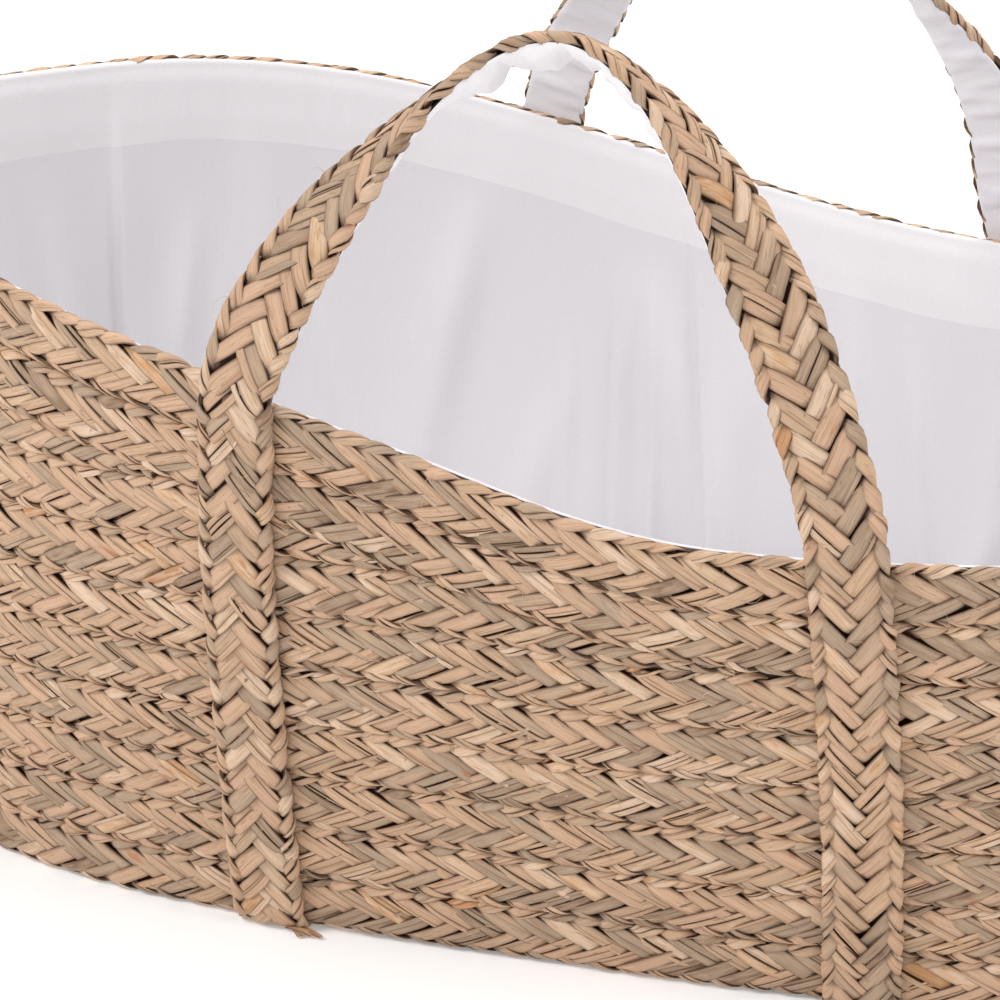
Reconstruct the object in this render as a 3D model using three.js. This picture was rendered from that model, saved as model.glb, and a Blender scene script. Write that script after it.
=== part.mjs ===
// A Moses basket: a bassinet of sewn seagrass braid with a cotton lining, two carrying handles and a mattress.
// Millimetres, +Z up. The origin is the middle of the underside. X runs along the basket, with the tall head end
// at -X. The front handle is at -Y and the back handle at +Y.
import * as THREE from 'three';
import { mergeVertices } from 'three/addons/utils/BufferGeometryUtils.js';

// Plan of the basket: a superellipse at every height, squarer at the base than at the top of the head end.
const BASE_HALF_LENGTH = 387;
const BASE_HALF_WIDTH = 199;
const BASE_SQUARENESS = 3;
const HEAD_SQUARENESS = 1.9;
const FLARE_ALONG = 0.174; // outward lean of the ends, mm per mm of height
const FLARE_ACROSS = 0.219; // outward lean of the long sides

// Braid courses. The two top courses follow the rim, and extra courses fill the wedge below them at the head.
const COURSE_PITCH = 29.5;
const LEVEL_COURSES = 6;
const RIM_COURSES = 2;
const HEAD_COURSES = 3;
const LOW_HEIGHT = (LEVEL_COURSES + RIM_COURSES) * COURSE_PITCH;
const HEAD_RISE = HEAD_COURSES * COURSE_PITCH;
const HEAD_HEIGHT = LOW_HEIGHT + HEAD_RISE;
const RISE_START_X = 141; // the rim is level from here to the foot end
const RISE_END_X = -358; // and level again from here round the head end
const BRAID_THICKNESS = 7;
const BASE_RINGS = 6;
const THINNEST_WEDGE = 3;

// Cotton lining.
const CLOTH = 2;
const LINING_GAP = 0.5; // wider than GAP, because the cloth's facets cross the courses
const HEM_CLOTH = 1.5;
const HEM_DEPTH = 46;
const LINING_ABOVE_RIM = 1.5;
const LINING_STEPS = 8;
const HEM_STEPS = 2;

// Mattress.
const MATTRESS_THICKNESS = 35;
const MATTRESS_CLEARANCE = 16;
const MATTRESS_ROUNDING = 8;

// Handles: a strap sewn up the wall, a short stretch that flexes at the rim, and a free loop.
const STRAP_WIDTH = 35;
const STRAP_THICKNESS = 6.5;
const HEAD_STRAP_X = -127; // at the rim
const FOOT_STRAP_X = 137.5;
const HEAD_STRAP_FOOT_X = -139; // at the floor
const FOOT_STRAP_FOOT_X = 145;
const STRAP_BEND = 3; // how much of the sideways shift lies near the rim
const STRAP_FOOT_Z = 4;
const LEG_GAP = 0.5;
const LEG_ABOVE_RIM = 6;
const FLEX_LENGTH = 22;
const LOOP_RISE = 181; // crown above the top of the sewn straps
const LOOP_LEAN = THREE.MathUtils.degToRad(15);
const LOOP_TAKEOFF = THREE.MathUtils.degToRad(10); // slope of the loop towards its middle where it leaves the rim
const LOOP_ROOT_REACH = 47;
const LOOP_CROWN_REACH = 56;
const CROWN_TWIST = THREE.MathUtils.degToRad(95);
const TWIST_SKEW = 0.88; // below 1, so that the twist peaks a little towards the head
const LOOP_LINING_WIDTH = 31;
const LOOP_LINING_GAP = 1.2; // wider than GAP, because both faces twist
const LOOP_STEPS = 32;
const LOOP_FACETS = 3; // across the width, so that the twisted faces stay smooth
const FLEX_STEPS = 2;
const LEG_STEPS = 8;

const GAP = 0.3; // between pieces that touch
const STATIONS = 48; // facets round every course
const { lerp, smoothstep } = THREE.MathUtils;

const STRAW = { color: 0xbfa07a, roughness: 0.75, metalness: 0 };
const STRAP_STRAW = { color: 0xc4a67f, roughness: 0.72, metalness: 0 };
const COTTON = { color: 0xece9ee, roughness: 0.9, metalness: 0 };

// ---- Shape of the wall ----

function squareness(z) {
  return lerp(BASE_SQUARENESS, HEAD_SQUARENESS, z / HEAD_HEIGHT);
}

function halfLength(z, inset) {
  return BASE_HALF_LENGTH + FLARE_ALONG * z - inset;
}

function halfWidth(z, inset) {
  return BASE_HALF_WIDTH + FLARE_ACROSS * z - inset;
}

// The point of the wall at an angle round the basket, a height, and an inset from the outer surface.
function wallPoint(angle, z, inset) {
  const power = 2 / squareness(z);
  const along = Math.cos(angle);
  const across = Math.sin(angle);
  return new THREE.Vector3(
    halfLength(z, inset) * Math.sign(along) * Math.abs(along) ** power,
    halfWidth(z, inset) * Math.sign(across) * Math.abs(across) ** power,
    z,
  );
}

function rimHeightAtX(x) {
  return LOW_HEIGHT + HEAD_RISE * (1 - smoothstep(x, RISE_END_X, RISE_START_X));
}

function rimHeight(angle) {
  return rimHeightAtX(wallPoint(angle, LOW_HEIGHT, 0).x);
}

function stationAngle(index) {
  return (2 * Math.PI * (index % STATIONS)) / STATIONS;
}

// ---- Solids ----

// Welds a geometry's shared corners and moves every vertex with place(point).
function reshape(geometry, place) {
  geometry.deleteAttribute('normal');
  geometry.deleteAttribute('uv');
  const welded = mergeVertices(geometry);
  const position = welded.attributes.position;
  const point = new THREE.Vector3();
  for (let i = 0; i < position.count; i += 1) {
    point.fromBufferAttribute(position, i);
    const placed = place(point);
    position.setXYZ(i, placed.x, placed.y, placed.z);
  }
  welded.computeVertexNormals();
  return welded;
}

// A closed band all the way round the wall. low and high give its edges at an angle, and a tall band takes several
// steps to follow the wall.
function wallRing(low, high, outerInset, innerInset, steps = 1) {
  const profile = [];
  for (let i = 0; i <= steps; i += 1) {
    profile.push(new THREE.Vector2(2, i / steps));
  }
  for (let i = steps; i >= 0; i -= 1) {
    profile.push(new THREE.Vector2(1, i / steps));
  }
  profile.push(profile[0].clone());
  return reshape(new THREE.LatheGeometry(profile, STATIONS), (point) => {
    const turn = Math.atan2(point.x, point.z) / (2 * Math.PI);
    const angle = stationAngle(Math.round(turn * STATIONS) + STATIONS);
    const depth = Math.hypot(point.x, point.z) - 1;
    return wallPoint(angle, lerp(low(angle), high(angle), point.y), lerp(innerInset, outerInset, depth));
  });
}

// A band round the head end only, between two stations.
function wallArc(firstStation, lastStation, low, high, outerInset, innerInset) {
  const steps = lastStation - firstStation;
  return reshape(new THREE.BoxGeometry(steps, 1, 1, steps, 1, 1), (point) => {
    const angle = stationAngle(Math.round(point.x + steps / 2) + firstStation);
    const inset = lerp(innerInset, outerInset, 0.5 - point.y);
    return wallPoint(angle, lerp(low(angle), high(angle), point.z + 0.5), inset);
  });
}

// A flat slab with the basket's plan.
function slab(zLow, thickness, inset, rounding = 0) {
  const outline = [];
  for (let i = 0; i < STATIONS; i += 1) {
    const point = wallPoint(stationAngle(i), zLow, inset + rounding);
    outline.push(new THREE.Vector2(point.x, point.y));
  }
  const geometry = new THREE.ExtrudeGeometry(new THREE.Shape(outline), {
    depth: thickness - 2 * rounding,
    bevelEnabled: rounding > 0,
    bevelThickness: rounding,
    bevelSize: rounding,
    bevelSegments: 2,
    curveSegments: 1,
  });
  geometry.translate(0, 0, zLow + rounding);
  return reshape(geometry, (point) => point);
}

// A strap of width x thickness through frames; frameAt(0..1) gives its middle, its face normal and its width axis.
function strap(steps, facets, width, thickness, frameAt) {
  return reshape(new THREE.BoxGeometry(1, width, thickness, steps, facets, 1), (point) => {
    const frame = frameAt(point.x + 0.5);
    return frame.middle
      .clone()
      .addScaledVector(frame.across, point.y)
      .addScaledVector(frame.normal, point.z);
  });
}

// ---- Handles ----

// Middle, normal and width axis of the strap where it lies on the wall. side is -1 at the front, 1 at the back.
function legFrame(side, x, z) {
  const a = halfLength(z, 0);
  const b = halfWidth(z, 0);
  const n = squareness(z);
  const y = b * (1 - Math.abs(x / a) ** n) ** (1 / n);
  const slope = -(b / a) * (Math.abs(x) / a) ** (n - 1) * (y / b) ** (1 - n) * Math.sign(x);
  const across = new THREE.Vector3(1, side * slope, 0).normalize();
  const up = new THREE.Vector3(0, side * FLARE_ACROSS, 1).normalize();
  const normal = across.clone().cross(up).multiplyScalar(-side).normalize();
  const middle = new THREE.Vector3(x, side * y, z).addScaledVector(normal, LEG_GAP + STRAP_THICKNESS / 2);
  return { middle, normal, across: normal.clone().cross(up).normalize() };
}

// The loop's middle line: two Bezier halves that meet at the crown.
function loopCurve(side) {
  const up = new THREE.Vector3(0, -side * Math.sin(LOOP_LEAN), Math.cos(LOOP_LEAN));
  const ends = [HEAD_STRAP_X, FOOT_STRAP_X].map((x) => {
    return legFrame(side, x, rimHeightAtX(x) + LEG_ABOVE_RIM).middle;
  });
  const crown = ends[0].clone().add(ends[1]).multiplyScalar(0.5).addScaledVector(up, LOOP_RISE);
  const along = new THREE.Vector3(1, 0, 0);
  const takeoffs = ends.map((end, index) => {
    const inward = index === 0 ? 1 : -1;
    return end
      .clone()
      .addScaledVector(up, LOOP_ROOT_REACH * Math.cos(LOOP_TAKEOFF))
      .addScaledVector(along, inward * LOOP_ROOT_REACH * Math.sin(LOOP_TAKEOFF));
  });
  const beforeCrown = crown.clone().addScaledVector(along, -LOOP_CROWN_REACH);
  const afterCrown = crown.clone().addScaledVector(along, LOOP_CROWN_REACH);
  const curve = new THREE.CurvePath();
  curve.add(new THREE.CubicBezierCurve3(ends[0], takeoffs[0], beforeCrown, crown));
  curve.add(new THREE.CubicBezierCurve3(crown, afterCrown, takeoffs[1], ends[1]));
  return curve;
}

// Middle, normal and width axis of the loop at a share of its length. The face looks out at the rim and up at the
// crown, and leans a little past upright there.
function loopFrame(side, curve, share) {
  const middle = curve.getPointAt(share);
  const tangent = curve.getTangentAt(share);
  const outward = new THREE.Vector3(0, side * Math.cos(LOOP_LEAN), Math.sin(LOOP_LEAN));
  outward.addScaledVector(tangent, -outward.dot(tangent)).normalize();
  const skyward = tangent.clone().cross(outward).multiplyScalar(side);
  const twist = CROWN_TWIST * smoothstep(1 - Math.abs(2 * share ** TWIST_SKEW - 1), 0.1, 1);
  const normal = outward.multiplyScalar(Math.cos(twist)).addScaledVector(skyward, Math.sin(twist));
  return { middle, normal, across: normal.clone().cross(tangent).normalize() };
}

function blendFrames(from, to, share) {
  const normal = from.normal.clone().lerp(to.normal, share).normalize();
  const middle = from.middle.clone().lerp(to.middle, share);
  return { middle, normal, across: from.across.clone().lerp(to.across, share).normalize() };
}

// ---- Assembly ----

const basket = new THREE.Group();

function add(name, geometry, look) {
  const mesh = new THREE.Mesh(geometry, new THREE.MeshStandardMaterial(look));
  mesh.name = name;
  basket.add(mesh);
  return mesh;
}

function level(z) {
  return () => z;
}

function belowRim(distance) {
  return (angle) => rimHeight(angle) - distance;
}

// Floor: a spiral of braid, as nested rings round one straight middle braid.
const ringPitch = (BASE_HALF_WIDTH - BRAID_THICKNESS) / (BASE_RINGS + 0.5);
for (let ringIndex = 0; ringIndex < BASE_RINGS; ringIndex += 1) {
  const outer = BRAID_THICKNESS + GAP + ringIndex * ringPitch;
  const ring = wallRing(level(0), level(BRAID_THICKNESS), outer, outer + ringPitch - GAP);
  add(`floor_ring_${ringIndex + 1}`, ring, STRAW);
}
add('floor_middle', slab(0, BRAID_THICKNESS, BRAID_THICKNESS + GAP + BASE_RINGS * ringPitch), STRAW);

// Wall: level courses, then the wedge courses of the head end, then the two courses that follow the rim.
for (let course = 0; course < LEVEL_COURSES; course += 1) {
  const low = level(course * COURSE_PITCH + (course > 0 ? GAP : 0));
  add(`wall_course_${course + 1}`, wallRing(low, level((course + 1) * COURSE_PITCH), 0, BRAID_THICKNESS), STRAW);
}
for (let course = 0; course < HEAD_COURSES; course += 1) {
  const floorZ = (LEVEL_COURSES + course) * COURSE_PITCH;
  const roof = belowRim(RIM_COURSES * COURSE_PITCH);
  let first = 0;
  while (roof(stationAngle(first)) - floorZ < THINNEST_WEDGE) {
    first += 1;
  }
  const high = (angle) => Math.min(floorZ + COURSE_PITCH, roof(angle));
  const arc = wallArc(first, STATIONS - first, level(floorZ + GAP), high, 0, BRAID_THICKNESS);
  add(`head_course_${course + 1}`, arc, STRAW);
}
const upperCourse = wallRing(belowRim(2 * COURSE_PITCH - GAP), belowRim(COURSE_PITCH), 0, BRAID_THICKNESS);
add('upper_course', upperCourse, STRAW);
add('rim_course', wallRing(belowRim(COURSE_PITCH - GAP), belowRim(0), 0, BRAID_THICKNESS), STRAW);

// Lining: a cloth wall with a doubled hem along its top, and a cloth floor.
const clothOuter = BRAID_THICKNESS + LINING_GAP;
const clothInner = clothOuter + CLOTH;
const hemOuter = clothInner + LINING_GAP;
const liningTop = belowRim(-LINING_ABOVE_RIM);
const liningWall = wallRing(level(clothOuter), liningTop, clothOuter, clothInner, LINING_STEPS);
add('lining_wall', liningWall, COTTON);
add('lining_hem', wallRing(belowRim(HEM_DEPTH), liningTop, hemOuter, hemOuter + HEM_CLOTH, HEM_STEPS), COTTON);
add('lining_floor', slab(clothOuter, CLOTH, hemOuter), COTTON);

const mattress = slab(clothInner + GAP, MATTRESS_THICKNESS, MATTRESS_CLEARANCE, MATTRESS_ROUNDING);
add('mattress_pad', mattress, COTTON);

// Handles, front and back: two sewn straps, two flexing stretches, the loop and the cotton strip inside it.
for (const [place, side] of [['front', -1], ['back', 1]]) {
  const curve = loopCurve(side);
  const rootShare = FLEX_LENGTH / curve.getLength();
  const ends = [
    ['head', HEAD_STRAP_X, HEAD_STRAP_FOOT_X, rootShare],
    ['foot', FOOT_STRAP_X, FOOT_STRAP_FOOT_X, 1 - rootShare],
  ];
  for (const [end, x, footX, rootAt] of ends) {
    const top = rimHeightAtX(x) + LEG_ABOVE_RIM;
    const leg = strap(LEG_STEPS, 1, STRAP_WIDTH, STRAP_THICKNESS, (share) => {
      return legFrame(side, lerp(footX, x, share ** STRAP_BEND), lerp(STRAP_FOOT_Z, top, share));
    });
    add(`${place}_${end}_strap`, leg, STRAP_STRAW);
    const lower = legFrame(side, x, top + GAP);
    const upper = loopFrame(side, curve, rootAt);
    if (upper.across.dot(lower.across) < 0) {
      upper.across.negate();
    }
    const flex = strap(FLEX_STEPS, 1, STRAP_WIDTH, STRAP_THICKNESS, (share) => {
      return blendFrames(lower, upper, share);
    });
    add(`${place}_${end}_flex`, flex, STRAP_STRAW);
  }
  const loopStart = rootShare + GAP / curve.getLength();
  const frameAt = (share) => loopFrame(side, curve, lerp(loopStart, 1 - loopStart, share));
  add(`${place}_loop`, strap(LOOP_STEPS, LOOP_FACETS, STRAP_WIDTH, STRAP_THICKNESS, frameAt), STRAP_STRAW);
  const lining = strap(LOOP_STEPS, LOOP_FACETS, LOOP_LINING_WIDTH, CLOTH, (share) => {
    const frame = frameAt(share);
    frame.middle.addScaledVector(frame.normal, -(STRAP_THICKNESS / 2 + LOOP_LINING_GAP + CLOTH / 2));
    return frame;
  });
  add(`${place}_loop_lining`, lining, COTTON);
}

export default basket;
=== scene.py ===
import math

import bpy
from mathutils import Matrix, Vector
from mathutils.bvhtree import BVHTree
import numpy as np

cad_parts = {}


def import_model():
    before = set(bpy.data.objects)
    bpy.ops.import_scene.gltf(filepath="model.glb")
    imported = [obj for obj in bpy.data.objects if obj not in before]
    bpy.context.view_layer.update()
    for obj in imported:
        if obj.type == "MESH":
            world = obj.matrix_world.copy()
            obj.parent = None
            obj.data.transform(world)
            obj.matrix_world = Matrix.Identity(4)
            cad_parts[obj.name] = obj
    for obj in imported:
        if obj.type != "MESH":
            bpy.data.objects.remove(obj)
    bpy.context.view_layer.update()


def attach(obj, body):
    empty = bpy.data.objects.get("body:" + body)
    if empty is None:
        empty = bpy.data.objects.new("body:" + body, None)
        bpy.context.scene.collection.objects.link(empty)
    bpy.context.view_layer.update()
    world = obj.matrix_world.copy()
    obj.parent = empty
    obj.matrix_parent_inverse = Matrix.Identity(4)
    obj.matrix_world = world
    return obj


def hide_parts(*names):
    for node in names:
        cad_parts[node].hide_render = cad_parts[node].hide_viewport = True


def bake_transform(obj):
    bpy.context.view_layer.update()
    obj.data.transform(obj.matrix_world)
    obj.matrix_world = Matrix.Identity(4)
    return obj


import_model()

# A Moses basket: sewn seagrass braid, a cotton lining with a doubled hem, a mattress and two folding
# handles. Metres, +Z up. The tall head end is at -X, the front handle at -Y and the back handle at +Y.

# ---- Dimensions, the same as the CAD model's ----

BASE_HALF_LENGTH = 0.387
BASE_HALF_WIDTH = 0.199
BASE_SQUARENESS = 3.0
HEAD_SQUARENESS = 1.9
FLARE_ALONG = 0.174
FLARE_ACROSS = 0.219
COURSE_PITCH = 0.0295
LEVEL_COURSES = 6
RIM_COURSES = 2
HEAD_COURSES = 3
LOW_HEIGHT = (LEVEL_COURSES + RIM_COURSES) * COURSE_PITCH
HEAD_RISE = HEAD_COURSES * COURSE_PITCH
HEAD_HEIGHT = LOW_HEIGHT + HEAD_RISE
RISE_START_X = 0.141
RISE_END_X = -0.358
BRAID_THICKNESS = 0.007
BASE_RINGS = 6
RING_GAP = 0.0003
RING_PITCH = (BASE_HALF_WIDTH - BRAID_THICKNESS) / (BASE_RINGS + 0.5)
HEM_DEPTH = 0.046
MATTRESS_CLEARANCE = 0.016
STRAP_THICKNESS = 0.0065
HEAD_STRAP_X = -0.127
FOOT_STRAP_X = 0.1375
HEAD_STRAP_FOOT_X = -0.139
FOOT_STRAP_FOOT_X = 0.145
STRAP_BEND = 3
LEG_GAP = 0.0005
LEG_ABOVE_RIM = 0.006
FLEX_LENGTH = 0.022
LOOP_RISE = 0.181
LOOP_LEAN = math.radians(15)
LOOP_TAKEOFF = math.radians(10)
LOOP_ROOT_REACH = 0.047
LOOP_CROWN_REACH = 0.056
CROWN_TWIST = math.radians(95)
TWIST_SKEW = 0.88

TINY = 1e-4  # between two points that a slope is taken from
MM = 0.001
SEED = 20
TURN_STEPS = 6001
WAVE_COUNTS = np.array([3, 7, 13, 22, 38])

# The hand-sewn front wall has sunk a few millimetres at the rim, most where the rim's rise begins.
FOOT_SAG, FOOT_SAG_START, FOOT_SAG_END = 4.2 * MM, -0.06, 0.02
DEEP_SAG, DEEP_SAG_X, DEEP_SAG_WIDTH = 2.6 * MM, 0.055, 0.045
HEAD_SAG, HEAD_SAG_START, HEAD_SAG_END = 2.2 * MM, 0.15, 0.22
SAG_FRONT_START, SAG_FRONT_END = 0.1, 0.18
SAG_POWER = 1.5

# ---- Shape of the wall ----


def squareness(z):
    return BASE_SQUARENESS + (HEAD_SQUARENESS - BASE_SQUARENESS) * z / HEAD_HEIGHT


def smoothstep(value, low, high):
    share = np.clip((value - low) / (high - low), 0, 1)
    return share * share * (3 - 2 * share)


def front_sag(x, y, z):
    deep = DEEP_SAG * np.exp(-(((x - DEEP_SAG_X) / DEEP_SAG_WIDTH) ** 2))
    foot = (FOOT_SAG + deep) * smoothstep(x, FOOT_SAG_START, FOOT_SAG_END)
    head = HEAD_SAG * smoothstep(-x, HEAD_SAG_START, HEAD_SAG_END)
    front = smoothstep(-y, SAG_FRONT_START, SAG_FRONT_END)
    return (foot + head) * np.clip(z / LOW_HEIGHT, 0, 1) ** SAG_POWER * front


def wall_point(turn, z, inset=0.0):
    """The wall's outer surface at an angle round the plan and a height."""
    power = squareness(z)
    along, across = np.cos(turn), np.sin(turn)
    reach = (np.abs(along) ** power + np.abs(across) ** power) ** (-1 / power)
    x = (BASE_HALF_LENGTH + FLARE_ALONG * z - inset) * reach * along
    y = (BASE_HALF_WIDTH + FLARE_ACROSS * z - inset) * reach * across
    return np.stack(np.broadcast_arrays(x, y, z - front_sag(x, y, z)), -1)


def unit(vectors):
    return vectors / np.linalg.norm(vectors, axis=-1, keepdims=True)


def wall_normal(turn, z):
    along = wall_point(turn + TINY, z) - wall_point(turn - TINY, z)
    up = wall_point(turn, z + TINY) - wall_point(turn, z - TINY)
    return unit(np.cross(along, up))


def rim_height_at_x(x):
    return LOW_HEIGHT + HEAD_RISE * (1 - smoothstep(x, RISE_END_X, RISE_START_X))


def rim_height(turn):
    return rim_height_at_x(wall_point(turn, LOW_HEIGHT)[..., 0])


def running_length(points):
    steps = np.linalg.norm(np.diff(points, axis=0), axis=-1)
    return np.concatenate([[0], np.cumsum(steps)])


def round_wall(height, inset=0.0):
    """Angles round the plan, and the length round the wall up to each, at height(turn)."""
    turns = np.linspace(0, 2 * math.pi, TURN_STEPS)
    return turns, running_length(wall_point(turns, height(turns), inset))


def waves(rng, length, size):
    """A smooth closed random wave round a course, of about the given size."""
    counts = WAVE_COUNTS
    sizes = size * rng.uniform(0.3, 1.0, len(counts)) / np.sqrt(counts / counts[0])
    phases = rng.uniform(0, 2 * math.pi, len(counts))

    def at(distance):
        angles = 2 * math.pi * np.multiply.outer(distance / length, counts) + phases
        return (np.sin(angles) * sizes).sum(-1)

    return at


# ---- Meshes ----


def stand_in(obj, body, node):
    """Puts a piece on the body it rides on, and hides the CAD node that it stands in for."""
    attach(obj, body)
    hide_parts(node)


def mesh_object(name, points, faces, attribute=None, values=None):
    """A smooth-shaded object from points and a list of face arrays, with four values for each point."""
    polygons = [face for block in faces for face in block.tolist()]
    mesh = bpy.data.meshes.new(name)
    mesh.from_pydata(points.reshape(-1, 3).tolist(), [], polygons)
    if attribute:
        layer = mesh.attributes.new(attribute, "FLOAT_COLOR", "POINT")
        layer.data.foreach_set("color", np.asarray(values, np.float32).ravel())
    mesh.shade_smooth()
    obj = bpy.data.objects.new(name, mesh)
    bpy.context.scene.collection.objects.link(obj)
    return obj


def tube_faces(tubes, sections, corners, closed=False):
    """Quads round each of a number of tubes, with end caps or closed into a ring."""
    index = np.arange(tubes * sections * corners).reshape(tubes, sections, corners)
    ahead = np.roll(index, -1, 1) if closed else index[:, 1:]
    behind = index if closed else index[:, :-1]
    quads = np.stack([behind, np.roll(behind, -1, 2), np.roll(ahead, -1, 2), ahead], -1).reshape(-1, 4)
    if closed:
        return [quads]
    return [quads, index[:, 0, ::-1], index[:, -1]]


# ---- Braid ----

# A flat braid is built in its own frame: distance along it, distance across it and height above its
# face. It shows four bands: a long strand slants from near each edge to the middle, and the strands of
# the other slant come up along each edge as short leaf shapes that roll round it.

# The section of a strand: places across it from -1 to 1, and heights in thicknesses.
SECTION_ACROSS = np.array([-1.0, -0.86, 0.86, 1.0, 0.93, 0.32, -0.32, -0.93])
SECTION_HEIGHT = np.array([-0.1, -0.5, -0.5, -0.1, 0.4, 0.5, 0.5, 0.4])
ON_TOP = np.array([0, 0, 0, 0, 0.4, 1, 1, 0.4])

# A long strand from under the edge band to just past the middle, where it dives. Steps run from 0 at
# the edge band to 1 at the middle.
LONG_STEPS = np.array([-0.42, -0.22, -0.06, 0.1, 0.28, 0.48, 0.68, 0.84, 0.97, 1.08, 1.2])
LONG_HEIGHTS = np.array([-4.2, -3.0, -1.8, -1.0, -0.65, -0.5, -0.5, -0.55, -0.8, -1.5, -3.2]) * MM
LONG_WIDTHS = np.array([0.72, 0.8, 0.88, 0.96, 1.0, 1.0, 1.0, 1.0, 0.97, 0.9, 0.75])

# An edge strand from under the long strands, up along the edge and round it.
LEAF_STEPS = np.linspace(0, 1, 10)
LEAF_HEIGHTS = np.array([-4.2, -2.6, -1.3, -0.5, -0.15, 0.0, -0.1, -0.5, -1.2, -2.0]) * MM
LEAF_WIDTHS = np.array([0.7, 0.84, 0.96, 1.0, 1.0, 1.0, 0.95, 0.86, 0.74, 0.6])
LEAF_START = -2.4 * MM
STRAND_THICKNESS = 1.2 * MM
STRAND_OVERLAP = 1.14
STRAND_LEAN = 0.16
LEAF_LEAN = 0.14
LEAF_WIDTH = 0.86  # of a long strand's
EDGE_RADIUS = 3.1 * MM
FURTHEST_ROLL = 3.0
LEAST_REACH = 0.3 * MM
EXTRA_STRANDS = 3  # strands that start before the end of an open braid
CUT_SLOPE = 1e-5  # keeps the points of a cut strip apart

# How much strands differ: in slant, in place along the braid as a share of the pitch, and in width.
LONG_SLANT_SPREAD, LONG_PLACE_SPREAD, LONG_WIDTH_SPREAD = 0.04, 0.045, 0.07
LEAF_SLANT_SPREAD, LEAF_PLACE_SPREAD, LEAF_WIDTH_SPREAD = 0.07, 0.06, 0.08

# A strand is split into strips, which differ in bow, tilt, height, thickness and in their top's ridges.
FURTHEST_SPLIT = 0.6
SPLIT_OVERLAP = 1.1
BOW_SPREAD = 0.5 * MM
TILT_SPREAD = 0.07
HEIGHT_SPREAD = 0.2 * MM
THICKNESS_SPREAD = 0.15
RIDGE_SPREAD = 0.12 * MM
BUMP_SPREAD = 0.05 * MM
# Painted shade: a strip darkens as it dips below this height, fully over this depth, where it goes under
# its neighbours.
BURIED_SHADE_FROM, BURIED_SHADE_DEPTH = -1.4 * MM, 1.6 * MM
GRAIN_LENGTH = 9  # strips take their grain from places along this many metres

# The strands underneath, seen only in the gaps, are one flat band, painted dark as the shade in the gaps.
CORE_MARGIN = 8 * MM
CORE_STEP = 0.006
CORE_LOW, CORE_SIDE, CORE_TOP = -5.6 * MM, -4.6 * MM, -3.2 * MM
CORE_TOP_SHARE = 0.7

# Thin hairs of straw that stand off the braid. Their rises are in millimetres.
FIBRE_STEPS = 6
FIBRE_LENGTHS = (0.005, 0.015)
FIBRE_RISES = (0.4, 3.0)
FIBRE_RADIUS = 0.2 * MM
FIBRE_TAPER = 0.75
FIBRE_CURL = 0.8
FIBRE_ARCH, FIBRE_ROOT = 2.2, 0.5 * MM
FIBRE_SPACING = 0.03
HIDDEN_FIBRE_SPACING = 1.0
HANDLE_FIBRE_SPACING = 0.025

STRAND_SHARPNESS = math.radians(38)

# Tones on the straw's colour ramp, with the share of strands that have each.
STRAW_TONES = np.array([0.18, 0.27, 0.42, 0.55, 0.66, 0.8, 0.9])
STRAW_SHARES = np.array([0.07, 0.2, 0.24, 0.2, 0.15, 0.11, 0.03])
# The core's tone is the ramp's darkest stop: painted shade for the gaps.
CORE_SHADE_TONE = 0.0
TONE_SPREAD = 0.06
DARKEST_TONE = 0.13


class Braid:
    """How a flat braid is plaited: its width, edge bands and their wrap, its strands and its core."""

    def __init__(self, width, band, wrap, leaf_turn, angle, pitch, splits, core):
        self.half = width / 2
        self.band = band
        self.wrap = wrap
        self.leaf_turn = leaf_turn
        self.angle = math.radians(angle)
        self.pitch = pitch
        self.splits = splits
        self.core_half = self.half + core

    def strand_width(self, pitch):
        return STRAND_OVERLAP * pitch * math.sin(self.angle)


WALL_BRAID = Braid(0.0303, 0.0042, 2.0 * MM, 0.42, 29, 0.0146, (0.24, 0.46, 0.3), 0.7 * MM)
RIM_BRAID = Braid(0.0303, 0.0042, 4.5 * MM, 0.42, 29, 0.0146, (0.24, 0.46, 0.3), -2.4 * MM)
HANDLE_BRAID = Braid(0.0352, 0.0062, 4.7 * MM, 0.2, 39, 0.0124, (0.5, 0.4, 0.1), -2.4 * MM)


def strand_table(splits, strands, rng):
    """One row for each strip: its strand, its share of the strand's width and its place across it."""
    rows = []
    for strand in strands:
        cuts = np.sort(rng.uniform(-FURTHEST_SPLIT, FURTHEST_SPLIT, rng.choice(3, p=splits)))
        edges = np.concatenate([[-1], cuts, [1]])
        for low, high in zip(edges[:-1], edges[1:]):
            rows.append((strand, (high - low) / 2, (low + high) / 2))
    table = np.array(rows)
    return table[:, 0].astype(int), table[:, 1], table[:, 2]


def rolled(across, height, half):
    """Rolls a flat braid's edges round: across is measured along the face and on round the edge."""
    flat = half - EDGE_RADIUS
    over = np.clip(np.abs(across) - flat, 0, None)
    angle = np.minimum(over / EDGE_RADIUS, FURTHEST_ROLL)
    reach = np.maximum(EDGE_RADIUS + height, LEAST_REACH)
    round_across = np.sign(across) * (flat + reach * np.sin(angle))
    round_height = reach * np.cos(angle) - EDGE_RADIUS
    return np.where(over > 0, round_across, across), np.where(over > 0, round_height, height)


def strip_section(count, steps, rng):
    """Heights round each strip's section, at every step along it."""
    corners = len(SECTION_ACROSS)
    thickness = STRAND_THICKNESS * (1 + rng.normal(0, THICKNESS_SPREAD, (count, 1, 1)))
    ridges = rng.normal(0, RIDGE_SPREAD, (count, 1, corners))
    ridges = ridges + rng.normal(0, BUMP_SPREAD, (count, steps, corners))
    return thickness * SECTION_HEIGHT + ridges * ON_TOP


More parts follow.
